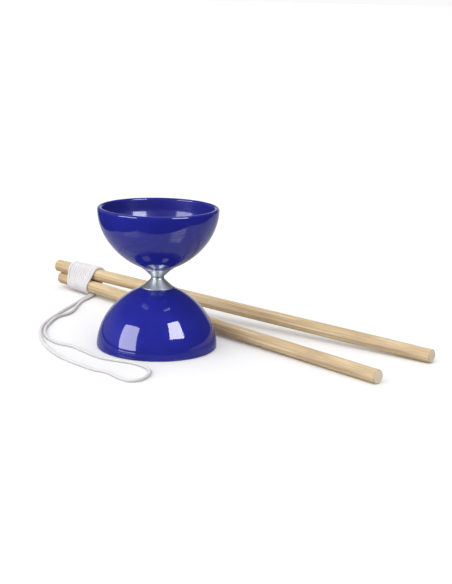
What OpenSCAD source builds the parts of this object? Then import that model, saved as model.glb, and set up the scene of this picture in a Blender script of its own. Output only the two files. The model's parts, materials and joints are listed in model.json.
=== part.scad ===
// Diabolo set: a two-cup spool on a clamped metal axle, its two handsticks, and their string.
// The origin is the centre of the spool's lower rim, on the surface that everything stands on.
// +Z runs up the spool's axle.

/* [Cups] */
// Diameter of a cup at its rim
cup_d = 105; // [96:1:126]
// Height of the spool from rim to rim
spool_h = 123; // [102:1:148]
// Thickness of a cup's wall
cup_wall = 3; // [2:0.2:4]
// Width of the thicker lip along the rim
rim_w = 4.2; // [3.6:0.2:6]
// Depth of the lip inside the cup
rim_depth = 8; // [4:0.5:10]
// Radius of the lip's rounded edges
rim_round = 1.6; // [0.6:0.1:1.7]
// Thickness of the cup's floor, where the axle clamps it
floor_t = 5; // [3:0.5:7]
// Height from the cup's seat to where its dome would close
crown = 3.1; // [2:0.1:4]
// Roundness of the dome across the axle
round_r = 1.66; // [1.5:0.02:2.2]
// Roundness of the dome along the axle
round_z = 2.04; // [1.8:0.02:2.4]
// Width of the raised seat that shows round the cone's flange
seat_step = 1.2; // [0.6:0.2:3]

/* [Axle] */
// Diameter of the axle in its string groove
groove_d = 12; // [10:0.5:15]
// Width of the string groove
groove_w = 2.6; // [2:0.2:6]
// Depth of the groove's hollow
groove_hollow = 0.4; // [0.1:0.1:0.8]
// Height of one cone
cone_h = 6.9; // [5:0.1:12]
// Diameter of a cone at its flange
cone_d = 26.8; // [18:0.4:27.2]
// How much the cone's flank is hollowed, from straight to fully flared
flare = 0.1; // [0:0.05:0.9]
// Diameter of the cone's flange
flange_d = 28; // [22:0.5:34]
// Thickness of the cone's flange
flange_t = 0.8; // [0.6:0.1:2]
// Diameter of the cone's spigot inside the cup's floor
spigot_d = 16; // [12:0.5:20]
// Diameter of the threaded rod
rod_d = 6; // [4:0.5:7.5]
// Length of rod that shows past each nut
rod_past = 1.6; // [0.5:0.1:6]

/* [Clamping parts] */
// Diameter of the wide washer on the cup's floor
washer_d = 26; // [20:0.5:32]
// Thickness of the wide washer
washer_t = 1.6; // [1:0.1:2.5]
// Diameter of the split spring washer
spring_washer_d = 11; // [10:0.5:14]
// Thickness of the split spring washer
spring_washer_t = 1.4; // [1:0.1:2]
// Width of the split in the spring washer
split_w = 1; // [0.6:0.1:1.5]
// Width of the nut across its flats
nut_af = 10; // [10:0.5:14]
// Height of the nut's hexagon
nut_hex_h = 4.4; // [3:0.2:6]
// Height of the round collar that holds the nylon ring
collar_h = 1.6; // [1:0.1:2.5]
// Width of the nylon ring
insert_w = 1; // [0.6:0.1:1.2]
// Width of the metal round the nylon ring
collar_w = 0.7; // [0.5:0.1:1]

/* [Handsticks] */
// Diameter of a handstick
stick_d = 12; // [10:0.5:14.5]
// Length of a handstick
stick_l = 434; // [340:2:520]
// Chamfer on the ends of a handstick
stick_chamfer = 0.8; // [0.2:0.1:2]
// Gap between the lower cup's rim and the lower handstick
spool_clear = 8.7; // [5:0.1:30]
// Direction of the lower handstick, in degrees from +X
lower_heading = -47; // [-60:1:-40]
// Angle between the two handsticks, in degrees
spread = 11.4; // [8:0.2:14]
// Distance from the lashing to where the lower handstick passes nearest to the spool
lash_back = 199.5; // [150:0.5:240]
// Length of the lower handstick on the short side of the lashing
lower_tail = 37; // [22:0.5:45]
// Length of the upper handstick on the short side of the lashing
upper_tail = 39.5; // [22:0.5:45]
// How far the upper handstick lies to the far side of the lower one at the lashing
lash_shift = 4.4; // [0:0.2:6]
// Diameter of the hole that anchors the string's end in a handstick
anchor_d = 3.4; // [2.5:0.1:4.5]
// Distance of that hole from the handstick's near end
anchor_in = 26; // [16:0.5:34]

/* [String] */
// Diameter of the string
string_d = 3; // [2:0.1:3]
// Length of the winding along the handsticks
winding_l = 34; // [24:1:40]

/* [Fits] */
// Gap between the rod and the bores it runs through
rod_gap = 0.1; // [0.05:0.05:0.3]
// Gap between a cone's spigot and the hole in the cup's floor
spigot_gap = 0.1; // [0.05:0.05:0.3]
// How much shorter the spigot is than the floor is thick, so that the washer clamps the cup
clamp_gap = 0.4; // [0.2:0.1:1]
// Gap between threaded and pressed-in pieces
thread_gap = 0.05; // [0.02:0.01:0.1]
// Room round the washer on the cup's floor
washer_room = 0.5; // [0.3:0.1:2]
// Gap between the two handsticks at the lashing
stick_gap = 0.5; // [0.2:0.05:0.6]
// Gap between the winding and the handsticks inside it
winding_gap = 0.1; // [0.05:0.05:0.2]

/* [Hidden] */
$fn = 96;
dome_steps = 26; // stretches in the dome's outline
arc_steps = 4; // stretches in a rounded edge
flare_steps = 8; // stretches in the cone's flank
edge = 0.5; // small chamfer on turned and moulded edges
lip_taper = 3; // height over which the lip runs out into the wall
cut = 1; // how far a cutter runs past what it cuts

cup_r = cup_d / 2;
middle_z = spool_h / 2;
// Heights above the spool's middle, in the order in which the pieces stack up.
cone_z = groove_w / 2;
flange_z = cone_z + cone_h;
seat_z = flange_z + flange_t;
washer_z = seat_z + floor_t;
spring_washer_z = washer_z + washer_t;
nut_z = spring_washer_z + spring_washer_t;
collar_z = nut_z + nut_hex_h;
nut_top_z = collar_z + collar_h;
rod_end_z = nut_top_z + rod_past;

cup_h = middle_z - seat_z;
dome_h = cup_h + crown;
inside_h = cup_h - floor_t;
inside_r = cup_r - cup_wall;
inside_dome_h = dome_h - cup_wall;
lip_r = cup_r - rim_w;
seat_r = flange_d / 2 + seat_step;
hub_r = spigot_d / 2 + spigot_gap;
bore_r = rod_d / 2 + rod_gap;
thread_r = rod_d / 2 + thread_gap;
insert_r = thread_r + insert_w;

stick_r = stick_d / 2;
upper_heading = lower_heading + spread;
lower_dir = [cos(lower_heading), sin(lower_heading)];
across = [-lower_dir[1], lower_dir[0]]; // away from the spool
nearest = across * (cup_r + spool_clear + stick_r);
lash = nearest - lower_dir * lash_back;
upper_lash = lash + across * lash_shift;
// The lower handstick rises over the string under its lashing, and its far end lies down.
lower_tilt = asin(string_d / (stick_l - lower_tail - winding_l / 2));
lower_lash_z = stick_r + string_d + sin(lower_tilt) * winding_l / 2;
// The upper handstick rests on the lower one, a little to its far side.
upper_lash_z = lower_lash_z + sqrt(pow(stick_d + stick_gap, 2) - pow(lash_shift, 2));
upper_tilt = asin((upper_lash_z - stick_r) / (stick_l - upper_tail));

// The loose string's route on the surface it lies on. It leaves the winding, turns back
// in front of the spool, and returns beside itself.
route = [
    [-76.8, 178.6], [-78.4, 173.5], [-82.5, 163.5], [-86.8, 147], [-92, 126],
    [-97.5, 106], [-102.3, 87], [-106.5, 66], [-108, 46], [-106, 24],
    [-99.5, -4], [-89.5, -28], [-76, -51], [-60, -69], [-47, -82],
    [-35, -89], [-26, -101], [-16.5, -110], [-6, -106], [-0.5, -90],
    [-4, -74], [-16.5, -61], [-32, -54], [-46, -46], [-60.5, -29.5],
    [-73, -14], [-86, -6], [-96.5, 9], [-102, 26], [-104, 44],
    [-103, 62], [-100.5, 78], [-97, 89], [-91, 96.5], [-87, 110],
    [-85.5, 130], [-83.2, 148.5], [-76.5, 168.5], [-74.6, 175.5], [-74.3, 180.6]
];
rings_per_stretch = 2;
string_sides = 8;
half_side = 180 / string_sides;

// A point of a dome's outline at angle a: distance from the axle, and depth from the rim.
function dome(a, r, h) = [r * pow(cos(a), 2 / round_r), h * pow(sin(a), 2 / round_z)];
function angle_at_depth(s, h) = asin(pow(s / h, round_z / 2));
function angle_at_radius(x, r) = acos(pow(x / r, round_r / 2));
function dome_run(a0, a1, r, h) =
    [for (i = [0:dome_steps]) dome(a0 + (a1 - a0) * i / dome_steps, r, h)];

module upper_half() {
    translate([0, 0, middle_z]) children();
}

module lower_half() {
    translate([0, 0, middle_z]) mirror([0, 0, 1]) children();
}

// A ring about the axle, from height z0 to z1 above the middle.
module ring(outer_r, inner_r, z0, z1) {
    translate([0, 0, z0]) difference() {
        cylinder(h = z1 - z0, r = outer_r);
        translate([0, 0, -cut]) cylinder(h = z1 - z0 + 2 * cut, r = inner_r);
    }
}

// A cup, above the spool's middle, with its rim up.
module cup() {
    outside = dome_run(angle_at_depth(rim_round, dome_h), angle_at_radius(seat_r, cup_r), cup_r, dome_h);
    floor_edge = max(dome(angle_at_depth(inside_h, inside_dome_h), inside_r, inside_dome_h)[0],
                     washer_d / 2 + washer_room);
    inside = dome_run(angle_at_radius(floor_edge, inside_r),
                      angle_at_depth(rim_depth + lip_taper, inside_dome_h), inside_r, inside_dome_h);
    lip = [for (i = [0:arc_steps]) let (t = 90 * i / arc_steps)
        [lip_r + rim_round * (1 - cos(t)), rim_round * (1 - sin(t))]];
    edge_arc = [for (i = [0:arc_steps - 1]) let (t = 90 * i / arc_steps)
        [cup_r - rim_round * (1 - sin(t)), rim_round * (1 - cos(t))]];
    outline = concat(
        outside, [[seat_r, cup_h - edge], [seat_r - edge, cup_h], [hub_r, cup_h], [hub_r, inside_h]],
        [[floor_edge, inside_h]], inside, [[lip_r, rim_depth]], lip, edge_arc);
    rotate_extrude() polygon([for (p = outline) [p[0], middle_z - p[1]]]);
}

// An axle cone, above the spool's middle, with its spigot up.
module cone() {
    flank = [for (i = [0:flare_steps]) let (t = i / flare_steps)
        [(groove_d + (cone_d - groove_d) * (t + flare * t * (t - 1))) / 2, cone_z + cone_h * t]];
    spigot_z = washer_z - clamp_gap;
    rotate_extrude() polygon(concat(
        [[bore_r, cone_z]], flank,
        [[flange_d / 2, flange_z], [flange_d / 2, seat_z], [spigot_d / 2, seat_z],
         [spigot_d / 2, spigot_z], [bore_r, spigot_z]]));
}

module split_washer() {
    difference() {
        ring(spring_washer_d / 2, bore_r, spring_washer_z, nut_z);
        translate([spring_washer_d / 2, 0, (spring_washer_z + nut_z) / 2]) rotate([25, 0, 0])
            cube([spring_washer_d, split_w, 4 * spring_washer_t], center = true);
    }
}

module lock_nut() {
    difference() {
        union() {
            translate([0, 0, nut_z]) cylinder(h = nut_hex_h, r = nut_af / 2 / cos(30), $fn = 6);
            translate([0, 0, nut_z]) cylinder(h = nut_top_z - nut_z, r = insert_r + collar_w);
        }
        translate([0, 0, nut_z - cut]) cylinder(h = nut_top_z - nut_z + 2 * cut, r = thread_r);
        translate([0, 0, collar_z]) cylinder(h = collar_h + cut, r = insert_r + thread_gap);
    }
}

module nut_insert() {
    ring(insert_r, thread_r, collar_z, nut_top_z);
}

module clamp_washer() {
    ring(washer_d / 2, bore_r, washer_z, spring_washer_z);
}

// Puts children, whose own Z runs from the lashing to the far end, along a handstick.
module along_lower() {
    translate([lash[0], lash[1], lower_lash_z]) rotate([0, 90 + lower_tilt, lower_heading]) children();
}

module along_upper() {
    translate([upper_lash[0], upper_lash[1], upper_lash_z])
        rotate([0, 90 + upper_tilt, upper_heading]) children();
}

// A handstick with its short side, the tail, below its own Z = 0, and the string's anchor hole.
module handstick(tail) {
    difference() {
        translate([0, 0, -tail]) rotate_extrude() polygon([
            [0, 0], [stick_r - stick_chamfer, 0], [stick_r, stick_chamfer],
            [stick_r, stick_l - stick_chamfer], [stick_r - stick_chamfer, stick_l], [0, stick_l]]);
        translate([0, 0, anchor_in - tail]) rotate([90, 0, 0])
            cylinder(h = stick_d + 2 * cut, d = anchor_d, center = true);
    }
}

// The shape round both handsticks at their lashing, at distance reach from their axes.
module round_sticks(reach) {
    hull() {
        along_lower() cylinder(h = 2 * winding_l, r = reach, center = true, $fn = 32);
        along_upper() cylinder(h = 2 * winding_l, r = reach, center = true, $fn = 32);
    }
}

module upper_cup() {
    color("mediumblue") upper_half() cup();
}

module lower_cup() {
    color("mediumblue") lower_half() cup();
}

module upper_cone() {
    color("silver") upper_half() cone();
}

module lower_cone() {
    color("silver") lower_half() cone();
}

module groove_sleeve() {
    waist = [for (i = [0:flare_steps]) let (t = 2 * i / flare_steps - 1)
        [groove_d / 2 - groove_hollow * (1 - t * t), cone_z * t]];
    color("gainsboro") upper_half()
        rotate_extrude() polygon(concat([[bore_r, -cone_z]], waist, [[bore_r, cone_z]]));
}

module axle_rod() {
    rod_r = rod_d / 2;
    color("dimgray") upper_half() rotate_extrude() polygon([
        [0, -rod_end_z], [rod_r - edge, -rod_end_z], [rod_r, edge - rod_end_z],
        [rod_r, rod_end_z - edge], [rod_r - edge, rod_end_z], [0, rod_end_z]]);
}

module upper_clamp_washer() {
    color("lightsteelblue") upper_half() clamp_washer();
}

module lower_clamp_washer() {
    color("lightsteelblue") lower_half() clamp_washer();
}

module upper_spring_washer() {
    color("slategray") upper_half() split_washer();
}

module lower_spring_washer() {
    color("slategray") lower_half() split_washer();
}

module upper_lock_nut() {
    color("lightgray") upper_half() lock_nut();
}

module lower_lock_nut() {
    color("lightgray") lower_half() lock_nut();
}

module upper_nut_insert() {
    color("white") upper_half() nut_insert();
}

module lower_nut_insert() {
    color("white") lower_half() nut_insert();
}

module lower_handstick() {
    color("burlywood") along_lower() handstick(lower_tail);
}

module upper_handstick() {
    color("wheat") along_upper() handstick(upper_tail);
}

// The string wound round both handsticks, as one closed band.
module string_winding() {
    tall = 2 * (upper_lash_z + stick_d);
    color("whitesmoke") difference() {
        intersection() {
            round_sticks(stick_r + string_d);
            along_lower() cube([2 * tall, tall, winding_l], center = true);
        }
        round_sticks(stick_r + winding_gap);
    }
}

// A smooth curve through the route: the point at share t of the stretch after point i.
function at(i) = let (p = route[max(0, min(len(route) - 1, i))]) [p[0], p[1], string_d / 2];
function on_route(i, t) =
    0.5 * (2 * at(i) + t * (at(i + 1) - at(i - 1))
           + t * t * (2 * at(i - 1) - 5 * at(i) + 4 * at(i + 1) - at(i + 2))
           + t * t * t * (3 * at(i) - at(i - 1) - 3 * at(i + 1) + at(i + 2)));
function unit(v) = v / norm(v);

module string_loop() {
    line = concat(
        [for (i = [0:len(route) - 2], j = [0:rings_per_stretch - 1]) on_route(i, j / rings_per_stretch)],
        [at(len(route) - 1)]);
    last = len(line) - 1;
    points = [for (i = [0:last])
        let (
            along = unit(line[min(last, i + 1)] - line[max(0, i - 1)]),
            side = unit(cross(along, [0, 0, 1])),
            up = cross(side, along))
        for (k = [0:string_sides - 1])
            let (a = half_side * (2 * k + 1))
            line[i] + string_d / 2 * (cos(a) * side + sin(a) * up)];
    n = string_sides;
    walls = [for (i = [0:last - 1], k = [0:n - 1])
        [n * i + k, n * i + (k + 1) % n, n * (i + 1) + (k + 1) % n, n * (i + 1) + k]];
    near_cap = [[for (k = [n - 1:-1:0]) k]];
    far_cap = [[for (k = [0:n - 1]) n * last + k]];
    color("white") polyhedron(points, concat(near_cap, walls, far_cap));
}

upper_cup();
lower_cup();
upper_cone();
lower_cone();
groove_sleeve();
axle_rod();
upper_clamp_washer();
lower_clamp_washer();
upper_spring_washer();
lower_spring_washer();
upper_lock_nut();
lower_lock_nut();
upper_nut_insert();
lower_nut_insert();
lower_handstick();
upper_handstick();
string_winding();
string_loop();
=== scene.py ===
"""Diabolo set: a blue two-cup spool on a turned axle, two wooden handsticks and their white string.

Lengths are in metres. The spool's axle is the Z axis, and everything stands on Z = 0.
"""

import json
import math

import bmesh
import bpy
import numpy as np
from mathutils import Matrix, Vector


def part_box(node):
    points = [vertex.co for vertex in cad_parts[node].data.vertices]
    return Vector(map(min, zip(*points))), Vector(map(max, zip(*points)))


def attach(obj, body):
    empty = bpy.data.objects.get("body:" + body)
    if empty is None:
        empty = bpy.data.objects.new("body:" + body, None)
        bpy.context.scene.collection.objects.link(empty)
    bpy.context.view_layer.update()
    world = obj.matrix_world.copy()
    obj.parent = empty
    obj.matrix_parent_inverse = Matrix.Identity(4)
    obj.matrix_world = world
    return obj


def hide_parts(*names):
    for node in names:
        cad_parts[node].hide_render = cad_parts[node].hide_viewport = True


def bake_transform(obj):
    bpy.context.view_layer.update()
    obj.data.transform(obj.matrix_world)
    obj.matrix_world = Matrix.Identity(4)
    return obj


bl_info = {
    "name": "Diabolo Set",
    "version": (1, 0, 0),
    "blender": (4, 5, 0),
    "location": "3D View > Sidebar > Diabolo",
    "description": "Makes a diabolo with its handsticks and string around its packed frame",
    "category": "Add Mesh",
}

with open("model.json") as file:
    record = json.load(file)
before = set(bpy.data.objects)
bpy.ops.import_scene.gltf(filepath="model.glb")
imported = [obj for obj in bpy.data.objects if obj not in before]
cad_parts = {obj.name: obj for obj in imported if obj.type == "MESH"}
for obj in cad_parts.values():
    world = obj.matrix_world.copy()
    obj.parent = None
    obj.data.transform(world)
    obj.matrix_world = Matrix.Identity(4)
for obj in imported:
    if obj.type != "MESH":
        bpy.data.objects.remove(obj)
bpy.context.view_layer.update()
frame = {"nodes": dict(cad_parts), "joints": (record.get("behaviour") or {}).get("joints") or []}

MM = 0.001
UP = Vector((0, 0, 1))
MIDDLE = (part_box("lower_cup")[0].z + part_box("upper_cup")[1].z) / 2
STICK_R = 6 * MM


def above(node):
    """The heights of a node's bottom and top above the spool's middle."""
    low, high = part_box(node)
    return low.z - MIDDLE, high.z - MIDDLE


def radius(node):
    """The radius of a node that is round about the axle."""
    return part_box(node)[1].x


# ------------------------------------------------------------------ sizes and colours


def size(name, text, value):
    return bpy.props.FloatProperty(name=name, description=text, default=value, unit="LENGTH", precision=5)


def share(name, text, value):
    return bpy.props.FloatProperty(name=name, description=text, default=value, min=0, subtype="FACTOR")


def angle(name, text, degrees):
    return bpy.props.FloatProperty(name=name, description=text, default=math.radians(degrees),
                                   unit="ROTATION", precision=5)


def colour(name, text, value):
    return bpy.props.FloatVectorProperty(name=name, description=text, default=value, size=3, min=0, max=1,
                                         subtype="COLOR")


def strength(name, text, value):
    return bpy.props.FloatProperty(name=name, description=text, default=value, min=0)


class CupSizes(bpy.types.PropertyGroup):
    """The two moulded cups"""

    wall: size("Wall", "Thickness of a cup's wall", 3 * MM)
    rim_width: size("Rim width", "Width of the thicker lip along the rim", 4.2 * MM)
    rim_depth: size("Rim depth", "Depth of the lip inside the cup", 8 * MM)
    rim_rounding: size("Rim rounding", "Radius of the lip's rounded edges", 1.6 * MM)
    lip_taper: size("Lip taper", "Height over which the lip runs out into the wall", 3 * MM)
    floor: size("Floor", "Thickness of the floor that the axle clamps", 5 * MM)
    crown: size("Crown", "Height from the seat to where the dome would close", 3.1 * MM)
    across: share("Roundness across", "Roundness of the dome across the axle", 1.66)
    along: share("Roundness along", "Roundness of the dome along the axle", 2.04)
    seat_step: size("Seat", "Width of the raised seat round the cone's flange", 1.2 * MM)
    plastic: colour("Plastic", "Colour of the cups", (0.018, 0.022, 0.285))


class AxleSizes(bpy.types.PropertyGroup):
    """The turned axle and the parts that clamp it"""

    groove_hollow: size("Groove hollow", "Depth of the string groove's hollow", 0.4 * MM)
    cone: size("Cone", "Diameter of a cone where its flange begins", 26.8 * MM)
    flare: share("Flare", "How much the cone's flank is hollowed", 0.1)
    flange: size("Flange", "Thickness of the cone's flange", 0.8 * MM)
    spigot: size("Spigot", "Diameter of the cone's spigot in the cup's floor", 16 * MM)
    pitch: size("Thread pitch", "Pitch of the rod's thread", 1 * MM)
    thread_depth: size("Thread depth", "Depth of the rod's thread", 0.55 * MM)
    bore_gap: size("Bore gap", "Gap between the rod and what is threaded on it", 0.1 * MM)
    spring_washer: size("Spring washer", "Diameter of the split spring washer", 11 * MM)
    collar: size("Collar", "Height of the nut's round collar", 1.6 * MM)
    collar_wall: size("Collar wall", "Wall of the nut's collar round its nylon ring", 0.65 * MM)
    aluminium: colour("Aluminium", "Colour of the turned cones", (0.59, 0.63, 0.66))
    steel: colour("Steel", "Colour of the zinc-plated parts", (0.56, 0.58, 0.6))


class StickSizes(bpy.types.PropertyGroup):
    """The two wooden handsticks"""

    chamfer: size("Chamfer", "Chamfer on the ends of a handstick", 0.8 * MM)
    anchor: size("Anchor hole", "Diameter of the hole that holds the string's end", 3.4 * MM)
    anchor_in: size("Anchor distance", "Distance of that hole from the handstick's near end", 26 * MM)
    ring_gap: size("Growth rings", "Distance between the wood's growth rings", 2.1 * MM)
    pale: colour("Pale wood", "Colour of the wood's soft early growth", (0.7, 0.535, 0.315))
    dark: colour("Dark wood", "Colour of the wood's late growth", (0.56, 0.38, 0.195))


class StringSizes(bpy.types.PropertyGroup):
    """The braided string"""

    diameter: size("Diameter", "Diameter of the string", 3 * MM)
    plait: size("Plait", "Length of one plait of the braid", 3.2 * MM)
    relief: size("Relief", "Height of the braid's plaits", 0.06 * MM)
    step: size("Step", "Distance between the rings of the string's tube", 0.4 * MM)
    white: colour("White", "Colour of the string", (0.82, 0.8, 0.81))


class StageSettings(bpy.types.PropertyGroup):
    """The floor, lights and camera"""

    floor: colour("Floor", "Colour of the floor", (0.95, 0.95, 0.95))
    daylight: strength("Daylight", "Strength of the soft light from above", 2.5)
    left_window: strength("Left window", "Strength of the window on the left", 9.5)
    right_window: strength("Right window", "Strength of the window on the right", 17.5)
    lens: bpy.props.FloatProperty(name="Lens", description="Focal length of the camera in millimetres",
                                  default=77.65, min=1)
    tilt: angle("Tilt", "How far the camera looks down", 13.281)
    lean: angle("Lean", "How far the camera leans to its left", 1.46)
    place: bpy.props.FloatVectorProperty(name="Place", description="Place of the camera", precision=5,
                                         default=(0.05973, -1.06713, 0.30152), subtype="TRANSLATION")


# ------------------------------------------------------------------ finishes


class Wire:
    """An output of a shader node. Sums on it add Math nodes."""

    def __init__(self, paint, socket):
        self.paint = paint
        self.socket = socket

    def math(self, operation, *values):
        return self.paint.node("ShaderNodeMath", {"operation": operation}, dict(enumerate(values)))

    def __add__(self, other):
        return self.math("ADD", self, other)

    def __sub__(self, other):
        return self.math("SUBTRACT", self, other)

    def __rsub__(self, other):
        return self.math("SUBTRACT", other, self)

    def __mul__(self, other):
        return self.math("MULTIPLY", self, other)

    def __truediv__(self, other):
        return self.math("DIVIDE", self, other)

    def __pow__(self, other):
        return self.math("POWER", self, other)

    __radd__ = __add__
    __rmul__ = __mul__

    def sine(self):
        return self.math("SINE", self)

    def fraction(self):
        return self.math("FRACT", self)

    def root(self):
        return self.math("SQRT", self)

    def cosine(self):
        return self.math("COSINE", self)

    def below(self, limit):
        return self.math("LESS_THAN", self, limit)

    def above(self, limit):
        return self.math("GREATER_THAN", self, limit)

    def over(self, low, high):
        """0 at low, 1 at high and beyond, and smooth between, whichever of the two is larger."""
        return self.paint.node("ShaderNodeMapRange", {"interpolation_type": "SMOOTHSTEP"},
                               {"Value": self, "From Min": low, "From Max": high})


class Paint:
    """The nodes of one material."""

    def __init__(self, owner):
        owner.use_nodes = True
        self.tree = owner.node_tree
        self.tree.nodes.clear()

    def node(self, kind, settings, sockets, out=0):
        made = self.tree.nodes.new(kind)
        for name, value in settings.items():
            setattr(made, name, value)
        for name, value in sockets.items():
            if isinstance(value, Wire):
                self.tree.links.new(value.socket, made.inputs[name])
            else:
                made.inputs[name].default_value = value
        return None if out is None else Wire(self, made.outputs[out])

    def place(self, location=(0, 0, 0), turn=(0, 0, 0)):
        """The place on the object in millimetres, from that location and along those turned axes."""
        place = self.node("ShaderNodeTexCoord", {}, {}, "Object")
        return self.node("ShaderNodeMapping", {"vector_type": "TEXTURE"},
                         {"Vector": place, "Location": location, "Rotation": turn, "Scale": (MM, MM, MM)})

    def parts(self, vector):
        """The X, Y and Z of a vector."""
        wires = [self.node("ShaderNodeSeparateXYZ", {}, {"Vector": vector})]
        return wires + [Wire(self, wires[0].socket.node.outputs[k]) for k in (1, 2)]

    def vector(self, x, y, z):
        return self.node("ShaderNodeCombineXYZ", {}, {"X": x, "Y": y, "Z": z})

    def noise(self, vector, scale, detail=2, roughness=0.5):
        return self.node("ShaderNodeTexNoise", {},
                         {"Vector": vector, "Scale": scale, "Detail": detail, "Roughness": roughness})

    def line_noise(self, along, scale, detail=2, roughness=0.5):
        """Noise that changes with one number only."""
        return self.node("ShaderNodeTexNoise", {"noise_dimensions": "1D"},
                         {"W": along, "Scale": scale, "Detail": detail, "Roughness": roughness})

    def mix(self, factor, one, other):
        """One colour where factor is 0, and the other where it is 1."""
        one, other = (c if isinstance(c, Wire) else (*c, 1) for c in (one, other))
        return self.node("ShaderNodeMix", {"data_type": "RGBA"}, {0: factor, 6: one, 7: other}, 2)

    def bump(self, height, distance, strength):
        return self.node("ShaderNodeBump", {}, {"Height": height, "Distance": distance, "Strength": strength})


def finish(name, slot, surface):
    """A material whose Principled shader has the sockets that surface(paint) gives."""
    made = bpy.data.materials.new(name)
    paint = Paint(made)
    shader = paint.node("ShaderNodeBsdfPrincipled", {}, surface(paint))
    paint.node("ShaderNodeOutputMaterial", {}, {"Surface": shader}, None)
    made["slot"] = slot
    return made


def cup_plastic(settings):
    """Glossy moulded plastic with a little pearl in it, polished by hand and lightly scuffed."""

    def surface(paint):
        place = paint.place()
        x, y, z = paint.parts(place)
        flow = paint.line_noise((x * x + y * y).root() * 0.35 + z * 0.5, 1.0, 3)
        cloud = paint.noise(place, 0.045, 3)
        scuff = paint.noise(paint.vector(x * 0.25, y * 0.25, z * 2.2), 1.2, 4, 0.7).over(0.6, 0.78)
        peel = paint.noise(place, 0.55, 2)
        base = Vector(settings.plastic)
        colour = paint.mix(cloud.over(0.3, 0.7), base * 0.92, base * 1.08)
        colour = paint.mix(scuff * 0.06, colour, (0.1, 0.1, 0.4))
        return {
            "Base Color": colour,
            "Metallic": 0.06,
            "Roughness": 0.4 + 0.08 * flow + 0.08 * scuff,
            "Specular IOR Level": 0.0,
            "Coat Weight": 1.0 - 0.12 * scuff,
            "Coat Roughness": 0.03,
            "Coat IOR": 1.5,
            "Normal": paint.bump(peel + flow * 0.35, 0.004 * MM, 0.5),
        }

    return finish("cup_plastic", "cup_plastic", surface)


def bowl_plastic(settings):
    """The same plastic inside a cup, where the mould left it duller, with faint rings."""

    def surface(paint):
        place = paint.place()
        x, y, z = paint.parts(place)
        around = (x * x + y * y).root()
        rings = paint.line_noise(z * 1.1 + around * 0.25, 1.0, 4, 0.75)
        broad = paint.noise(paint.vector(x * 0.05, y * 0.05, z * 0.35), 1.0, 3)
        base = Vector(settings.plastic)
        colour = paint.mix(rings.over(0.35, 0.75) * 0.5, base * 0.9, base * 1.15)
        return {
            "Base Color": colour,
            "Metallic": 0.1,
            "Roughness": 0.42 + 0.1 * rings,
            "Specular IOR Level": 0.15,
            "Coat Weight": 0.55 + 0.3 * broad,
            "Coat Roughness": 0.1,
            "Coat IOR": 1.5,
            "Normal": paint.bump(rings, 0.05 * MM, 0.8),
        }

    return finish("bowl_plastic", "cup_plastic", surface)


def turned_aluminium(settings, name, shade):
    """Aluminium with the fine rings that a lathe tool leaves, and faint streaks along the flank."""

    def surface(paint):
        x, y, z = paint.parts(paint.place())
        around = (x * x + y * y).root()
        along = around + z * 0.8
        rings = paint.line_noise(along, 9.0, 3, 0.7)
        coarse = paint.line_noise(along, 1.6, 2)
        smear = paint.noise(paint.vector(x * 0.3, y * 0.3, z * 0.8), 1.0, 3)
        streak = paint.noise(paint.vector(x / around * 5.0, y / around * 5.0, z * 0.05), 1.0, 3, 0.6)
        # A shade below one darkens the whole colour, which paints shade on the sleeve between the cones.
        base = Vector(settings.aluminium) * shade
        colour = paint.mix(coarse.over(0.3, 0.7), base * 0.9, base * 1.06)
        return {
            "Base Color": paint.mix(streak.over(0.35, 0.7) * 0.5, colour, base * 0.72),
            "Metallic": 1.0,
            "Roughness": 0.34 + 0.12 * smear + 0.08 * rings,
            "Normal": paint.bump(rings + coarse * 0.6, 0.012 * MM, 0.6),
        }

    return finish(name, "turned_aluminium", surface)


def zinc_steel(settings):
    """Bright zinc plating, a little cloudy."""

    def surface(paint):
        place = paint.place()
        cloud = paint.noise(place, 0.5, 4, 0.6)
        grain = paint.noise(place, 6.0, 2)
        base = Vector(settings.steel)
        return {
            "Base Color": paint.mix(cloud.over(0.35, 0.65), base * 0.85, base * 1.1),
            "Metallic": 1.0,
            "Roughness": 0.24 + 0.2 * cloud,
            "Normal": paint.bump(grain, 0.006 * MM, 0.5),
        }

    return finish("zinc_steel", "zinc_steel", surface)


def nylon():
    """Slightly cloudy off-white nylon."""

    def surface(paint):
        place = paint.place()
        cloud = paint.noise(place, 0.8, 3)
        return {
            "Base Color": paint.mix(cloud.over(0.3, 0.7), (0.74, 0.74, 0.7), (0.82, 0.82, 0.79)),
            "Roughness": 0.4 + 0.15 * cloud,
            "Normal": paint.bump(paint.noise(place, 3.0, 2), 0.01 * MM, 0.4),
        }

    return finish("nylon", "nylon", surface)


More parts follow.
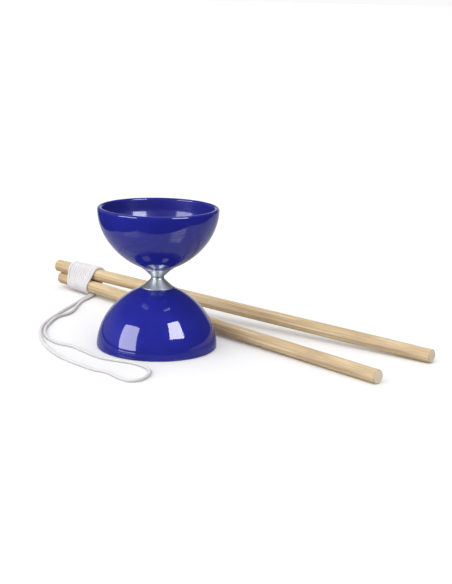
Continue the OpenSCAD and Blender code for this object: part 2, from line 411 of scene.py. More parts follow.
def dowel_wood(settings, name, start, turn, length, heart):
    """Bare sanded dowel with its grain along it. The tree's heart was at that place beside its axis."""

    def surface(paint):
        place = paint.place(start, turn)
        x, y, z = paint.parts(place)
        wander = paint.line_noise(z * 0.011, 1.0, 2)
        wobble = paint.noise(paint.vector(x * 0.12, y * 0.12, z * 0.006), 1.0, 3)
        from_heart = ((x - heart[0]) * (x - heart[0]) + (y - heart[1]) * (y - heart[1])).root()
        growth = ((from_heart + wander * 5.0 + wobble * 2.6) / (settings.ring_gap / MM)).fraction()
        late = growth.over(0.25, 0.92) * (1 - growth.over(0.93, 1.0))
        fibre = paint.noise(paint.vector(x * 5.0, y * 5.0, z * 0.05), 1.0, 4, 0.65)
        streak = paint.noise(paint.vector(x * 0.3, y * 0.3, z * 0.014), 1.0, 4, 0.65)
        line = paint.noise(paint.vector(x * 1.3, y * 1.3, z * 0.006), 1.0, 2)
        pores = paint.noise(paint.vector(x * 7.0, y * 7.0, z * 0.16), 1.0, 1).over(0.66, 0.74)
        blush = paint.noise(paint.vector(x * 0.09, y * 0.09, z * 0.013), 1.0, 3)
        pale, dark = Vector(settings.pale), Vector(settings.dark)
        colour = paint.mix(late * 0.6, pale, dark)
        colour = paint.mix(fibre.over(0.3, 0.75) * 0.4, colour, dark * 0.88)
        colour = paint.mix(streak.over(0.47, 0.62) * 0.75, colour, (0.8, 0.64, 0.39))
        colour = paint.mix(line.over(0.54, 0.64) * 0.75, colour, (0.42, 0.26, 0.115))
        colour = paint.mix(blush.over(0.5, 0.7) * 0.6, colour, (0.42, 0.27, 0.16))
        colour = paint.mix(pores * 0.4, colour, (0.3, 0.17, 0.08))
        far = length / MM
        end_face = (z.below(0.06) + z.above(far - 0.06)).over(0, 1)
        dots = paint.noise(paint.vector(x * 4.0, y * 4.0, z), 1.0, 2)
        sawn = paint.mix(dots.over(0.35, 0.7) * 0.5 + late * 0.2, (0.9, 0.8, 0.64), (0.6, 0.46, 0.3))
        colour = paint.mix(end_face, colour, sawn)
        edge = (z.over(1.6, 0.1) + z.over(far - 1.6, far - 0.1)) * (1 - end_face)
        colour = paint.mix(edge * 0.35, colour, (0.42, 0.26, 0.12))
        relief = fibre + late * 0.5 - pores * 0.8 + dots * end_face * 3.0
        return {
            "Base Color": colour,
            "Roughness": 0.5 + 0.16 * fibre + 0.14 * end_face,
            "Normal": paint.bump(relief, 0.03 * MM, 0.7),
        }

    return finish(name, "dowel_wood", surface)


def braided_string(settings, length):
    """White braid. U runs round the string, and V along it."""

    def surface(paint):
        place = paint.node("ShaderNodeTexCoord", {}, {}, "UV")
        u, v, _ = paint.parts(place)
        along = v * (length / settings.plait)
        one = (u * 4 + along).fraction()
        other = (u * 4 - along).fraction()
        yarn = (one * math.tau * 3).sine() * 0.5 + (other * math.tau * 3).sine() * 0.5
        # Painted shade: the hollows between the braid's plaits are darker.
        valley_shade = ((u * 8 * math.pi).cosine() * (along * math.tau).cosine()).over(0.35, -0.9)
        fuzz = paint.noise(paint.place(), 3.5, 3, 0.7)
        soil = paint.noise(paint.place(), 0.05, 2)
        white = Vector(settings.white)
        colour = paint.mix(valley_shade * 0.45, white, white * 0.72)
        colour = paint.mix(soil.over(0.45, 0.75) * 0.25, colour, (0.76, 0.75, 0.74))
        # Painted shade: the string is a little greyer within a few millimetres of the floor, mostly the loop
        # that lies on it.
        height = paint.parts(paint.place())[2]
        colour = paint.mix(height.over(6.0, 2.0), colour, white * 0.9)
        return {
            "Base Color": colour,
            "Roughness": 0.86 + 0.1 * fuzz,
            "Sheen Weight": 0.25,
            "Normal": paint.bump(yarn * 0.4 + fuzz, 0.1 * MM, 0.8),
        }

    return finish("cotton_string", "cotton_string", surface)


def plain(name, shade, roughness, shine=0.0):
    """A colour with a faint unevenness, for the stage."""

    def surface(paint):
        uneven = paint.noise(paint.place(), 0.004, 2)
        shade_vector = Vector(shade)
        return {
            "Base Color": paint.mix(uneven, shade_vector * 0.99, shade_vector),
            "Roughness": roughness,
            "Specular IOR Level": 0.0,
            "Coat Weight": shine,
            "Coat Roughness": 0.06,
        }

    return finish(name, "stage", surface)


def glow(name, power):
    """A lamp's diffusing cloth, a little brighter in its folds."""

    def surface(paint):
        folds = paint.noise(paint.place(), 0.008, 2)
        return {
            "Base Color": (0, 0, 0, 1),
            "Emission Color": paint.mix(folds, (0.9, 0.93, 1.0), (1.0, 0.98, 0.97)),
            "Emission Strength": power,
        }

    return finish(name, "stage", surface)


# ------------------------------------------------------------------ shapes


def rounded(corners, closed=True, arc=4):
    """An outline of (radius, height) points. A corner with a third number is rounded to that radius."""
    made = []
    last = len(corners) - 1
    for i, corner in enumerate(corners):
        point = Vector(corner[:2])
        if len(corner) < 3 or (not closed and i in (0, last)):
            made.append(point)
            continue
        back = (Vector(corners[i - 1][:2]) - point).normalized()
        ahead = (Vector(corners[(i + 1) % len(corners)][:2]) - point).normalized()
        half = back.angle(ahead) / 2
        centre = point + (back + ahead).normalized() * (corner[2] / math.sin(half))
        begin = point + back * (corner[2] / math.tan(half)) - centre
        end = point + ahead * (corner[2] / math.tan(half)) - centre
        sweep = begin.angle_signed(end)
        for k in range(arc + 1):
            made.append(centre + Matrix.Rotation(-sweep * k / arc, 2) @ begin)
    return made


def lathe(outline, steps=128, closed=True):
    """The outline of (radius, height) points, turned about the axle."""
    mesh = bmesh.new()
    points = [mesh.verts.new((x, 0, z)) for x, z in outline]
    ends = points[1:] + points[:1] if closed else points[1:]
    edges = [mesh.edges.new(pair) for pair in zip(points, ends)]
    bmesh.ops.spin(mesh, geom=points + edges, axis=UP, cent=(0, 0, 0), angle=math.tau, steps=steps,
                   use_merge=True)
    bmesh.ops.remove_doubles(mesh, verts=mesh.verts, dist=1e-6)
    bmesh.ops.recalc_face_normals(mesh, faces=mesh.faces)
    return mesh


def put(mesh, name, paints, body, *nodes, sharp=32):
    """Makes the mesh a piece with those finishes, which rides on the body and stands for the CAD nodes."""
    data = bpy.data.meshes.new(name)
    mesh.to_mesh(data)
    mesh.free()
    data.shade_smooth()
    data.set_sharp_from_angle(angle=math.radians(sharp))
    for paint in paints:
        data.materials.append(paint)
    piece = bpy.data.objects.new(name, data)
    bpy.context.scene.collection.objects.link(piece)
    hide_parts(*nodes)
    if body:
        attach(piece, body)
    return piece


def on_both_halves(make, name, paints, node, sharp=32):
    """Puts a piece into the spool's upper half, and its mirror image into the lower half."""
    for half, way in (("upper", 1), ("lower", -1)):
        mesh = make()
        bmesh.ops.scale(mesh, vec=(1, 1, way), verts=mesh.verts)
        bmesh.ops.translate(mesh, vec=(0, 0, MIDDLE), verts=mesh.verts)
        if way < 0:
            bmesh.ops.reverse_faces(mesh, faces=mesh.faces)
        put(mesh, f"{half}_{name}", paints, "spool", f"{half}_{node}", sharp=sharp)


def stick_ends(node):
    """The middles of a handstick's two ends, the near one first, which is beside the lashing.

    The first pass finds the handstick's axis roughly, and the second uses the end faces alone.
    """
    points = np.array([v.co for v in frame["nodes"][node].data.vertices], float)
    heading = points[points[:, 0].argmax()] - points[points[:, 0].argmin()]
    heading /= np.linalg.norm(heading)
    for depth in (3 * MM, 0.05 * MM):
        along = points @ heading
        ends = []
        for face in (along < along.min() + depth, along > along.max() - depth):
            ends.append((points[face].min(0) + points[face].max(0)) / 2)
        heading = (ends[1] - ends[0]) / np.linalg.norm(ends[1] - ends[0])
    return Vector(ends[0]), Vector(ends[1])


def spread_of(node):
    """The matrix from a handstick's own axes to the set's, and its length. Z is along it, and Y is level."""
    near, far = stick_ends(node)
    along = (far - near).normalized()
    level = UP.cross(along).normalized()
    turned = Matrix((level.cross(along), level, along)).transposed().to_4x4()
    return Matrix.Translation(near) @ turned, (far - near).length


# ------------------------------------------------------------------ the string's way

# Where the loose string passes on the floor, in millimetres. It leaves the winding and comes back to it.
ROUTE = [
    (-76.8, 178.6), (-78.4, 173.5), (-82.5, 163.5), (-86.8, 147), (-92, 126),
    (-97.5, 106), (-102.3, 87), (-106.5, 66), (-108, 46), (-106, 24),
    (-99.5, -4), (-89.5, -28), (-76, -51), (-60, -69), (-47, -82),
    (-35, -89), (-26, -101), (-16.5, -110), (-6, -106), (-0.5, -90),
    (-4, -74), (-16.5, -61), (-32, -54), (-46, -46), (-60.5, -29.5),
    (-73, -14), (-86, -6), (-96.5, 9), (-102, 26), (-104, 44),
    (-103, 62), (-100.5, 78), (-97, 89), (-91, 96.5), (-87, 110),
    (-85.5, 130), (-83.2, 148.5), (-76.5, 168.5), (-74.6, 175.5), (-74.3, 180.6),
]
# Where each end's turns stand along the lashing, in millimetres, by the number of turns made.
# A whole number of turns is at the back, and half a turn more is at the front.
FIRST_TURNS = [(-0.1, -13.2), (0.1, -14.6), (0.5, -15.5), (1.1, -12.5), (1.5, -12.1), (2.5, -6.05),
               (3.5, 0.0), (4.5, 6.05), (5.5, 12.1), (6.0, 13.0), (6.21, 14.2)]
SECOND_TURNS = [(0.0, -11.0), (0.25, -10.1), (0.5, -9.1), (1.5, -3.03), (2.5, 3.03), (3.5, 9.08),
                (4.5, 15.3), (5.0, 15.9), (5.16, 16.4)]
# Distance from the handstick's axis to the string where it starts out of its hole.
SUNK = 4.6 * MM
# The part of a turn over which the string rises out of its hole.
RISE_TURNS = 0.22
TURN_STEP = 0.008


def curve(points, per_stretch):
    """A smooth curve through the points."""
    points = np.array(points, float)
    padded = np.concatenate([points[:1], points, points[-1:]])
    made = []
    for a, b, c, d in zip(padded, padded[1:], padded[2:], padded[3:]):
        for t in np.arange(per_stretch) / per_stretch:
            made.append(0.5 * (2 * b + t * (c - a) + t * t * (2 * a - 5 * b + 4 * c - d)
                               + t * t * t * (3 * b - a - 3 * c + d)))
    return np.array(made + [points[-1]])


def join(line, other):
    """The points of a smooth way from the end of one line to the start of the other."""
    a, b = line[-1], other[0]
    gap = np.linalg.norm(b - a)
    out = (line[-1] - line[-3]) / np.linalg.norm(line[-1] - line[-3]) * gap
    into = (other[2] - other[0]) / np.linalg.norm(other[2] - other[0]) * gap
    t = np.linspace(0, 1, 14)[1:-1, None]
    return ((2 * t**3 - 3 * t**2 + 1) * a + (t**3 - 2 * t**2 + t) * out
            + (3 * t**2 - 2 * t**3) * b + (t**3 - t**2) * into)


def evenly(line, step):
    """The same line with points about a step apart."""
    along = np.concatenate([[0], np.cumsum(np.linalg.norm(np.diff(line, axis=0), axis=1))])
    at = np.linspace(0, along[-1], round(along[-1] / step) + 1)
    return np.stack([np.interp(at, along, line[:, k]) for k in range(3)], axis=1)


def eased(line, rounds):
    """The line with its small kinks smoothed out."""
    for _ in range(rounds):
        line[1:-1] = (line[:-2] + 2 * line[1:-1] + line[2:]) / 4
    return line


class Lashing:
    """The belt round both handsticks that a turn of the string follows."""

    def __init__(self, reach):
        self.reach = reach
        (low, low_far), (high, high_far) = stick_ends("lower_handstick"), stick_ends("upper_handstick")
        pivot = Vector(next(j for j in frame["joints"] if j["name"] == "stick_spread")["pos_m"])
        self.along = Vector(((low_far - low).x, (low_far - low).y, 0)).normalized()
        self.away = UP.cross(self.along)
        self.axes = [(p, (q - p).normalized()) for p, q in ((low, low_far), (high, high_far))]
        self.origin = self.on_axis(self.axes[0], pivot.dot(self.along))
        self.origin.z = 0

    def on_axis(self, axis, along):
        """The point of a handstick's axis that is so far along the lashing's own direction."""
        point, way = axis
        return point + way * ((along - point.dot(self.along)) / way.dot(self.along))

    def point(self, turns, place, reach=None):
        """The point after that number of turns, at that place along the lashing."""
        reach = reach or self.reach
        start = self.origin.dot(self.along)
        low, high = (self.on_axis(axis, start + place) - self.origin for axis in self.axes)
        low, high = (Vector((p.dot(self.away), p.z)) for p in (low, high))
        rise = high - low
        side = Vector((rise.y, -rise.x)).normalized()
        half = math.pi * reach
        whole = 2 * (rise.length + half)
        run = (turns % 1) * whole + rise.length / 2
        if run >= whole:
            run -= whole
        if run < rise.length:
            flat = high + side * reach - rise * (run / rise.length)
        elif run < rise.length + half:
            flat = low + Matrix.Rotation(-(run - rise.length) / reach, 2) @ side * reach
        elif run < 2 * rise.length + half:
            flat = low - side * reach + rise * ((run - rise.length - half) / rise.length)
        else:
            flat = high - Matrix.Rotation(-(run - 2 * rise.length - half) / reach, 2) @ side * reach
        return self.origin + self.along * place + self.away * flat.x + UP * flat.y

    def turns(self, keys):
        """A line of points through the turns of one end, which comes out of its hole at the start."""
        numbers, places = zip(*keys)
        made = []
        for turns in np.arange(numbers[0], numbers[-1], TURN_STEP):
            emerge = min(1, (turns - numbers[0]) / RISE_TURNS)
            reach = SUNK + (self.reach - SUNK) * emerge * (2 - emerge)
            made.append(self.point(turns, np.interp(turns, numbers, places) * MM, reach))
        return np.array(made)


def string_way(diameter, step):
    """The middle line of the whole string, from its hole in one handstick to its hole in the other."""
    lashing = Lashing(STICK_R + diameter / 2)
    first = lashing.turns(FIRST_TURNS)
    second = lashing.turns(SECOND_TURNS)[::-1]
    loop = curve([(x * MM, y * MM, diameter / 2) for x, y in ROUTE[:-1]], 8)
    line = np.concatenate([first, join(first, loop), loop, join(loop, second), second])
    line = eased(evenly(line, step), 12)
    return evenly(line, step)


def tube(line, thickness, settings, sides=16):
    """A braided tube along the line, as vertices, faces and the UV of each face's corners."""
    ahead = np.gradient(line, axis=0)
    ahead /= np.linalg.norm(ahead, axis=1)[:, None]
    side = np.zeros_like(line)
    now = np.array(UP) - ahead[0] * ahead[0, 2]
    for i, way in enumerate(ahead):
        now = now - way * (now @ way)
        now /= np.linalg.norm(now)
        side[i] = now
    other = np.cross(ahead, side)
    run = np.arange(len(line)) * np.linalg.norm(np.diff(line, axis=0), axis=1).mean()
    turn = np.arange(sides) * math.tau / sides
    plaits = np.cos(4 * turn)[None, :] * np.cos(math.tau * run / settings.plait)[:, None]
    reach = thickness / 2 - settings.relief + settings.relief * plaits
    reach[[0, -1]] *= 0.6
    rings = (line[:, None] + reach[:, :, None] * (np.cos(turn)[None, :, None] * side[:, None]
                                                  + np.sin(turn)[None, :, None] * other[:, None]))
    points = rings.reshape(-1, 3)
    first = np.arange(len(line) - 1)[:, None] * sides + np.arange(sides)[None, :]
    after = np.arange(len(line) - 1)[:, None] * sides + (np.arange(sides)[None, :] + 1) % sides
    walls = np.stack([first, after, after + sides, first + sides], axis=-1).reshape(-1, 4)
    u, v = np.arange(sides) / sides, run / run[-1]
    corners = np.zeros((len(line) - 1, sides, 4, 2))
    corners[..., 0] = np.stack([u, u + 1 / sides, u + 1 / sides, u], axis=-1)[None]
    corners[..., 1] = np.stack([v[:-1], v[:-1], v[1:], v[1:]], axis=-1)[:, None]
    caps = [tuple(range(sides - 1, -1, -1)), tuple(range((len(line) - 1) * sides, len(line) * sides))]
    return points, [tuple(face) for face in walls.tolist()] + caps, corners.reshape(-1, 2)


# ------------------------------------------------------------------ operators


class DIABOLO_OT_camera(bpy.types.Operator):
    """Stands the camera in front of the set and a little above it"""

    bl_idname = "diabolo.camera"
    bl_label = "Camera"

    def execute(self, context):
        s = context.scene.diabolo_stage
        data = bpy.data.cameras.new("camera")
        data.lens = s.lens
        data.sensor_width = 36
        data.clip_start, data.clip_end = 0.01, 200
        camera = bpy.data.objects.new("camera", data)
        camera.matrix_world = (Matrix.Translation(s.place)
                               @ Matrix.Rotation(math.pi / 2 - s.tilt, 4, "X")
                               @ Matrix.Rotation(s.lean, 4, "Z"))
        context.scene.collection.objects.link(camera)
        context.scene.camera = camera
        return {"FINISHED"}


class DIABOLO_OT_string(bpy.types.Operator):
    """Winds the string round both handsticks and lays its loop on the floor"""

    bl_idname = "diabolo.string"
    bl_label = "String"

    def execute(self, context):
        s = context.scene.diabolo_string
        line = string_way(s.diameter, s.step)
        length = float(np.linalg.norm(np.diff(line, axis=0), axis=1).sum())
        points, faces, corners = tube(line, s.diameter, s)
        data = bpy.data.meshes.new("string")
        data.from_pydata(points.tolist(), [], faces)
        # The corners of the two end caps keep a UV of zero.
        layer = data.uv_layers.new(name="braid")
        flat = np.zeros(len(layer.uv) * 2)
        flat[: corners.size] = corners.ravel()
        layer.uv.foreach_set("vector", flat)
        data.shade_smooth()
        data.materials.append(braided_string(s, length))
        piece = bpy.data.objects.new("string", data)
        context.scene.collection.objects.link(piece)
        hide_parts("string_winding", "string_loop")
        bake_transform(piece)
        return {"FINISHED"}


class DIABOLO_OT_cups(bpy.types.Operator):
    """Moulds the two cups"""

    bl_idname = "diabolo.cups"
    bl_label = "Cups"

    def execute(self, context):
        s = context.scene.diabolo_cups
        seat, rim = above("upper_cup")
        cup_r = radius("upper_cup")
        height = rim - seat
        seat_r = radius("upper_cone") + s.seat_step
        hub_r = context.scene.diabolo_axle.spigot / 2 + 0.1 * MM
        edge = 0.5 * MM

        # The dome's outline, by an angle that is 0 at the rim and a right angle at its top.
        def dome(a, r, h):
            return r * math.cos(a) ** (2 / s.across), h * math.sin(a) ** (2 / s.along)

        def at_depth(depth, h):
            return math.asin((depth / h) ** (s.along / 2))

        def at_radius(x, r):
            return math.acos((x / r) ** (s.across / 2))

        def run(a, b, r, h, steps=64):
            return [dome(a + (b - a) * i / steps, r, h) for i in range(steps + 1)]

        # Heights here are depths below the upper cup's rim.
        dome_h = height + s.crown
        inside_r, inside_dome_h, inside_h = cup_r - s.wall, dome_h - s.wall, height - s.floor
        floor_edge = max(dome(at_depth(inside_h, inside_dome_h), inside_r, inside_dome_h)[0],
                         radius("upper_clamp_washer") + 0.5 * MM)
        bend = s.rim_rounding
        corners = run(at_depth(bend, dome_h), at_radius(seat_r, cup_r), cup_r, dome_h)
        corners += [(seat_r, height - edge, 0.2 * MM), (seat_r - edge, height, 0.2 * MM), (hub_r, height),
                    (hub_r, inside_h, 0.3 * MM)]
        corners += run(at_radius(floor_edge, inside_r), at_depth(s.rim_depth + s.lip_taper, inside_dome_h),
                       inside_r, inside_dome_h)
        lip_r = cup_r - s.rim_width
        corners += [(lip_r, s.rim_depth, 1.2 * MM), (lip_r, 0, bend), (cup_r, 0, bend)]
        outline = [(x, rim - depth) for x, depth in rounded(corners, arc=8)]
        finishes = [cup_plastic(s), bowl_plastic(s)]
        on_both_halves(lambda: self.bowl(outline, lip_r, rim), "bowl", finishes, "cup", sharp=40)
        return {"FINISHED"}

    def bowl(self, outline, lip_r, rim):
        """The turned cup. Its hollow, below the lip's inner edge, has the second finish."""
        mesh = lathe(outline, 192)
        for face in mesh.faces:
            centre = face.calc_center_median()
            hollow = face.normal.xy.dot(centre.xy) < -1e-9 or face.normal.z > 0.9
            below_lip = centre.z < rim - 1 * MM and centre.xy.length < lip_r + 0.5 * MM
            face.material_index = int(hollow and below_lip)
        return mesh


class DIABOLO_OT_axle(bpy.types.Operator):
    """Turns the two cones and the grooved sleeve between them"""

    bl_idname = "diabolo.axle"
    bl_label = "Axle"

    def execute(self, context):
        s = context.scene.diabolo_axle
        paint = turned_aluminium(s, "turned_aluminium", 1.0)
        cone_z, spigot_z = above("upper_cone")
        seat_z = above("upper_cup")[0]
        flange_z = seat_z - s.flange
        groove_r, cone_r, flange_r = radius("groove_sleeve"), s.cone / 2, radius("upper_cone")
        bore_r = radius("axle_rod") + s.bore_gap
        steps = 16
        flank = []
        for i in range(1, steps):
            t = i / steps
            flank.append((groove_r + (cone_r - groove_r) * (t + s.flare * t * (t - 1)),
                          cone_z + (flange_z - cone_z) * t))
        corners = [(bore_r, cone_z), (groove_r, cone_z, 0.3 * MM)] + flank
        corners += [(cone_r, flange_z, 0.1 * MM), (flange_r, flange_z, 0.2 * MM),
                    (flange_r, seat_z, 0.15 * MM), (s.spigot / 2, seat_z),
                    (s.spigot / 2, spigot_z, 0.3 * MM), (bore_r, spigot_z, 0.2 * MM)]
        outline = rounded(corners)
        on_both_halves(lambda: lathe(outline, 160), "turned_cone", [paint], "cone")

        waist = [(bore_r, -cone_z), (groove_r, -cone_z, 0.3 * MM)]
        for i in range(1, steps):
            t = 2 * i / steps - 1
            waist.append((groove_r - s.groove_hollow * (1 - t * t), cone_z * t))
        waist += [(groove_r, cone_z, 0.3 * MM), (bore_r, cone_z)]
        mesh = lathe([(x, z + MIDDLE) for x, z in rounded(waist)], 160)
        # Painted shade: the grooved sleeve between the cones gets a darker copy of their aluminium.
        groove_shade = turned_aluminium(s, "painted_shade_aluminium", 0.64)
        put(mesh, "string_groove_sleeve", [groove_shade], "spool", "groove_sleeve")
        return {"FINISHED"}


class DIABOLO_OT_clamping(bpy.types.Operator):
    """Makes the threaded rod, its washers and its lock nuts"""

    bl_idname = "diabolo.clamping"
    bl_label = "Rod, washers and nuts"

    def execute(self, context):
        s = context.scene.diabolo_axle
        paint = zinc_steel(s)
        self.rod(s, paint)
        for name, make in (("clamp_washer", self.washer), ("spring_washer", self.split_washer),
                           ("lock_nut", self.nut)):
            on_both_halves(lambda: make(s), f"zinc_{name}", [paint], name, sharp=25)
        for half in ("upper", "lower"):
            insert = frame["nodes"][f"{half}_nut_insert"]
            insert.data.materials.clear()
            insert.data.materials.append(bpy.data.materials.get("nylon") or nylon())
        return {"FINISHED"}

    def rod(self, s, paint):
        """A helical thread, cut off at both ends, which are bevelled down to its root."""
        crest, root = radius("axle_rod"), radius("axle_rod") - s.thread_depth
        low, high = above("axle_rod")
        mesh = bmesh.new()
        points = []
        z = low - 2 * s.pitch
        while z < high + 2 * s.pitch:
            for x, rise in ((crest, 0), (crest, 0.15), (root, 0.45), (root, 0.7)):
                points.append(mesh.verts.new((x, 0, z + rise * s.pitch)))
            z += s.pitch
        edges = [mesh.edges.new(pair) for pair in zip(points, points[1:])]
        steps = 48
        bmesh.ops.spin(mesh, geom=points + edges, axis=UP, cent=(0, 0, 0), angle=math.tau, steps=steps,
                       dvec=(0, 0, s.pitch / steps))
        bmesh.ops.remove_doubles(mesh, verts=mesh.verts, dist=1e-6)
        for z, way in ((low, -1), (high, 1)):
            cut = bmesh.ops.bisect_plane(mesh, geom=mesh.verts[:] + mesh.edges[:] + mesh.faces[:],
                                         plane_co=(0, 0, z), plane_no=(0, 0, way), clear_outer=True)
            rim = [e for e in cut["geom_cut"] if isinstance(e, bmesh.types.BMEdge)]
            bmesh.ops.contextual_create(mesh, geom=rim)
            for v in mesh.verts:
                most = root + abs(z - v.co.z)
                if abs(z - v.co.z) < s.thread_depth and v.co.xy.length > most:
                    v.co.xy *= most / v.co.xy.length
        bmesh.ops.translate(mesh, vec=(0, 0, MIDDLE), verts=mesh.verts)
        bmesh.ops.recalc_face_normals(mesh, faces=mesh.faces)
        put(mesh, "threaded_rod", [paint], "spool", "axle_rod", sharp=25)

    def washer(self, s):
        low, high = above("upper_clamp_washer")
        outer, bore = radius("upper_clamp_washer"), radius("axle_rod") + s.bore_gap
        return lathe(rounded([(bore, low, 0.15 * MM), (outer, low, 0.15 * MM), (outer, high, 0.6 * MM),
                              (bore, high, 0.3 * MM)]), 96)

    def split_washer(self, s):
        """A ring that stops short of a full turn, with slanted ends."""
        low, high = above("upper_spring_washer")
        outer, bore = s.spring_washer / 2, radius("axle_rod") + s.bore_gap
        split, slope = math.radians(11), math.radians(4)
        mesh = bmesh.new()
        outline = rounded([(bore, low, 0.12 * MM), (outer, low, 0.2 * MM), (outer, high, 0.2 * MM),
                           (bore, high, 0.12 * MM)], arc=2)
        points = [mesh.verts.new((x, 0, z)) for x, z in outline]
        edges = [mesh.edges.new(pair) for pair in zip(points, points[1:] + points[:1])]
        bmesh.ops.spin(mesh, geom=points + edges, axis=UP, cent=(0, 0, 0), angle=math.tau - split, steps=72)
        ends = [e for e in mesh.edges if e.is_boundary]
        bmesh.ops.holes_fill(mesh, edges=ends, sides=0)
        for v in mesh.verts:
            turn = split / 2 + slope * (v.co.z - low) / (high - low)
            v.co.xy = Matrix.Rotation(turn, 2) @ v.co.xy
        bmesh.ops.recalc_face_normals(mesh, faces=mesh.faces)
        return mesh

    def nut(self, s):
        """A hexagon turned first, with both its ends bevelled, and then cut to its six flats."""
        low, high = above("upper_lock_nut")
        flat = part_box("upper_lock_nut")[1].y
        bore = radius("axle_rod") + 0.05 * MM
        ring = radius("upper_nut_insert") + 0.05 * MM
        hex_top = high - s.collar
        corner = flat / math.cos(math.pi / 6)
        face = flat * 0.95
        collar = ring + s.collar_wall
        steps = 7
        lower_slope, upper_slope = [], []
        for i in range(steps + 1):
            x = face + (corner - face) * i / steps
            drop = (x - face) * math.tan(math.radians(30))
            lower_slope.append((x, low + drop))
            upper_slope.insert(0, (x, hex_top - drop))
        outline = rounded([(bore, low, 0.2 * MM)] + lower_slope + upper_slope
                          + [(collar, hex_top, 0.15 * MM), (collar, high, 0.45 * MM), (ring, high, 0.1 * MM),
                             (ring, hex_top), (bore, hex_top)])
        mesh = lathe(outline, 96)
        for v in mesh.verts:
            turn = math.atan2(v.co.y, v.co.x) % (math.pi / 3) - math.pi / 6
            most = flat / math.cos(turn)
            if v.co.z < hex_top - 1e-7 and v.co.xy.length > most:
                v.co.xy *= most / v.co.xy.length
        bmesh.ops.remove_doubles(mesh, verts=mesh.verts, dist=1e-6)
        return mesh


class DIABOLO_OT_sticks(bpy.types.Operator):
    """Turns the two handsticks and drills their anchor holes"""

    bl_idname = "diabolo.sticks"
    bl_label = "Handsticks"

    def execute(self, context):
        s = context.scene.diabolo_sticks
        for which, body, heart in (("lower", "handsticks", (11.0, -16.0)),
                                   ("upper", "upper_stick", (-14.0, 9.0))):
            node = f"{which}_handstick"
            place, length = spread_of(node)
            face_r = STICK_R - s.chamfer
            corners = [(0, 0), (face_r, 0, 0.2 * MM), (STICK_R, s.chamfer, 0.3 * MM)]
            corners += [(STICK_R, s.chamfer + (length - 2 * s.chamfer) * i / 60) for i in range(1, 60)]
            corners += [(STICK_R, length - s.chamfer, 0.3 * MM), (face_r, length, 0.2 * MM), (0, length)]
            mesh = lathe(rounded(corners, closed=False), 64, closed=False)
            bmesh.ops.transform(mesh, matrix=place, verts=mesh.verts)
            paint = dowel_wood(s, f"dowel_wood_{which}", place.translation, place.to_euler(), length, heart)
            piece = put(mesh, f"{which}_dowel", [paint], None, node)
            self.drill(context, piece, place, s)
            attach(piece, body)
        return {"FINISHED"}

    def drill(self, context, piece, place, s):
        """Cuts the hole level through the handstick."""
        mesh = bmesh.new()
        bmesh.ops.create_cone(mesh, cap_ends=True, segments=32, radius1=s.anchor / 2, radius2=s.anchor / 2,
                              depth=0.02)
        turned = Matrix.Translation((0, 0, s.anchor_in)) @ Matrix.Rotation(math.pi / 2, 4, "X")
        bmesh.ops.transform(mesh, matrix=place @ turned, verts=mesh.verts)
        data = bpy.data.meshes.new("drill")
        mesh.to_mesh(data)
        mesh.free()
        drill = bpy.data.objects.new("drill", data)
        context.scene.collection.objects.link(drill)
        cut = piece.modifiers.new("hole", "BOOLEAN")
        cut.operation = "DIFFERENCE"
        cut.solver = "EXACT"
        cut.object = drill
        context.view_layer.update()
        whole = piece.evaluated_get(context.evaluated_depsgraph_get())
        old = piece.data
        piece.data = bpy.data.meshes.new_from_object(whole)
        piece.modifiers.clear()
        bpy.data.objects.remove(drill)
        bpy.data.meshes.remove(old)


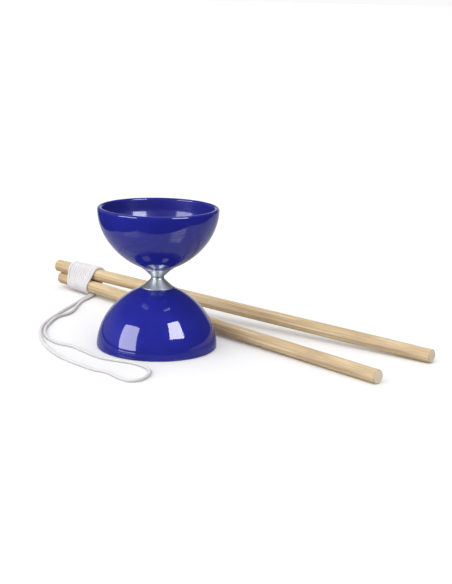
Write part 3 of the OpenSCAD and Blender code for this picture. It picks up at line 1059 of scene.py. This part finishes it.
class DIABOLO_OT_stage(bpy.types.Operator):
    """Lays the floor and sets the lights"""

    bl_idname = "diabolo.stage"
    bl_label = "Stage"

    def execute(self, context):
        s = context.scene.diabolo_stage
        context.scene.view_settings.view_transform = "Standard"
        self.floor(context, s)
        self.lights(context, s)
        self.sky(context)
        return {"FINISHED"}

    def lay(self, context, name, corners, paint, *rays):
        """A flat stage piece that only those kinds of rays see."""
        mesh = bmesh.new()
        mesh.faces.new([mesh.verts.new(corner) for corner in corners])
        data = bpy.data.meshes.new(name)
        mesh.to_mesh(data)
        mesh.free()
        data.materials.append(paint)
        piece = bpy.data.objects.new(name, data)
        for ray in ("camera", "diffuse", "glossy", "transmission", "volume_scatter", "shadow"):
            setattr(piece, f"visible_{ray}", ray in rays)
        context.scene.collection.objects.link(piece)

    def floor(self, context, s):
        wide = [(-60, -60), (60, -60), (60, 60), (-60, 60)]
        self.lay(context, "floor", [(x, y, 0) for x, y in wide], plain("floor_paper", s.floor, 0.9), "camera")
        # What the set itself sees of the floor is a little dimmer, as under a shaded table.
        self.lay(context, "floor_around", [(x, y, -0.2 * MM) for x, y in wide],
                 plain("floor_around", Vector(s.floor) * 0.62, 0.9, 1.0), "diffuse", "glossy", "transmission")
        # The room beyond the table's edge is dark, and shows only in reflections.
        edge = [(-0.24, 0.3), (-0.2, -0.03), (-0.12, -0.165), (0.1, -0.165), (0.26, -0.14), (0.45, 0.2),
                (0.7, 1.2), (4, 1.2), (4, -4), (-4, -4), (-4, 1.2), (-0.5, 1.2)]
        self.lay(context, "dark_room", [(x, y, 0.3 * MM) for x, y in edge],
                 plain("dark_room", (0.03, 0.03, 0.035), 1.0), "glossy")

    def lights(self, context, s):
        """Windows and lamps that only reflections show, and two soft suns that light the set."""
        windows = {
            "left_window": (s.left_window, [(-0.81, -0.18, 0.6), (-0.5, -0.6, 0.72), (-0.63, -0.87, 0.03),
                                            (-0.99, -0.33, 0)]),
            "right_window": (s.right_window, [(0.34, -0.49, 0.8), (0.59, -0.24, 0.76), (0.82, -0.46, 0.37),
                                              (0.46, -0.8, 0.43)]),
            "back_lamp": (2.5, [(0.1, -0.12, 0.86), (0.28, -0.1, 0.86), (0.26, 0, 0.86), (0.12, 0, 0.86)]),
            "side_lamp": (1.2, [(-0.38, 0, 0.85), (-0.24, 0, 0.85), (-0.24, 0.1, 0.85), (-0.38, 0.1, 0.85)]),
        }
        for name, (power, corners) in windows.items():
            self.lay(context, name, corners, glow(name, power), "glossy")
        for name, way, spread, power in (("top", (-0.25, 0.3, 1), 160, s.daylight),
                                         ("front", (-0.35, -1, 0.5), 110, s.daylight * 0.85)):
            data = bpy.data.lights.new(f"{name}_light", "SUN")
            data.energy = power
            data.angle = math.radians(spread)
            sun = bpy.data.objects.new(f"{name}_light", data)
            sun.matrix_world = Vector(way).to_track_quat("Z", "Y").to_matrix().to_4x4()
            sun.visible_glossy = False
            context.scene.collection.objects.link(sun)

    def sky(self, context):
        """Bright low down behind the set, softly lit on its left, and dim elsewhere."""
        world = bpy.data.worlds.new("studio")
        context.scene.world = world
        paint = Paint(world)
        way = paint.node("ShaderNodeTexCoord", {}, {}, "Generated")
        x, y, z = paint.parts(way)
        backdrop = (1 - z.over(0.05, 0.3)) * y.over(0.8, 0.99)
        left_wall = (1 - z.over(0.2, 0.7)) * x.over(-0.3, -0.9)
        power = 0.06 + 0.9 * backdrop + 0.3 * left_wall
        sky = paint.node("ShaderNodeBackground", {}, {"Color": (1, 1, 1, 1), "Strength": power})
        paint.node("ShaderNodeOutputWorld", {}, {"Surface": sky}, None)


class DIABOLO_PT_panel(bpy.types.Panel):
    """The diabolo set's steps and sizes"""

    bl_idname = "DIABOLO_PT_panel"
    bl_label = "Diabolo Set"
    bl_space_type = "VIEW_3D"
    bl_region_type = "UI"
    bl_category = "Diabolo"

    def draw(self, context):
        for operator in OPERATORS:
            self.layout.operator(operator.bl_idname)
        for name in GROUPS:
            group = getattr(context.scene, name)
            box = self.layout.box()
            for field in group.__annotations__:
                box.prop(group, field)


OPERATORS = (DIABOLO_OT_camera, DIABOLO_OT_string, DIABOLO_OT_cups, DIABOLO_OT_axle, DIABOLO_OT_clamping,
             DIABOLO_OT_sticks, DIABOLO_OT_stage)
GROUPS = {"diabolo_cups": CupSizes, "diabolo_axle": AxleSizes, "diabolo_sticks": StickSizes,
          "diabolo_string": StringSizes, "diabolo_stage": StageSettings}
CLASSES = (*GROUPS.values(), *OPERATORS, DIABOLO_PT_panel)


def register():
    for made in CLASSES:
        bpy.utils.register_class(made)
    for name, group in GROUPS.items():
        setattr(bpy.types.Scene, name, bpy.props.PointerProperty(type=group))


def unregister():
    for name in GROUPS:
        delattr(bpy.types.Scene, name)
    for made in reversed(CLASSES):
        bpy.utils.unregister_class(made)


def main():
    register()
    for operator in OPERATORS:
        family, name = operator.bl_idname.split(".")
        getattr(getattr(bpy.ops, family), name)()


if __name__ == "__main__":
    main()
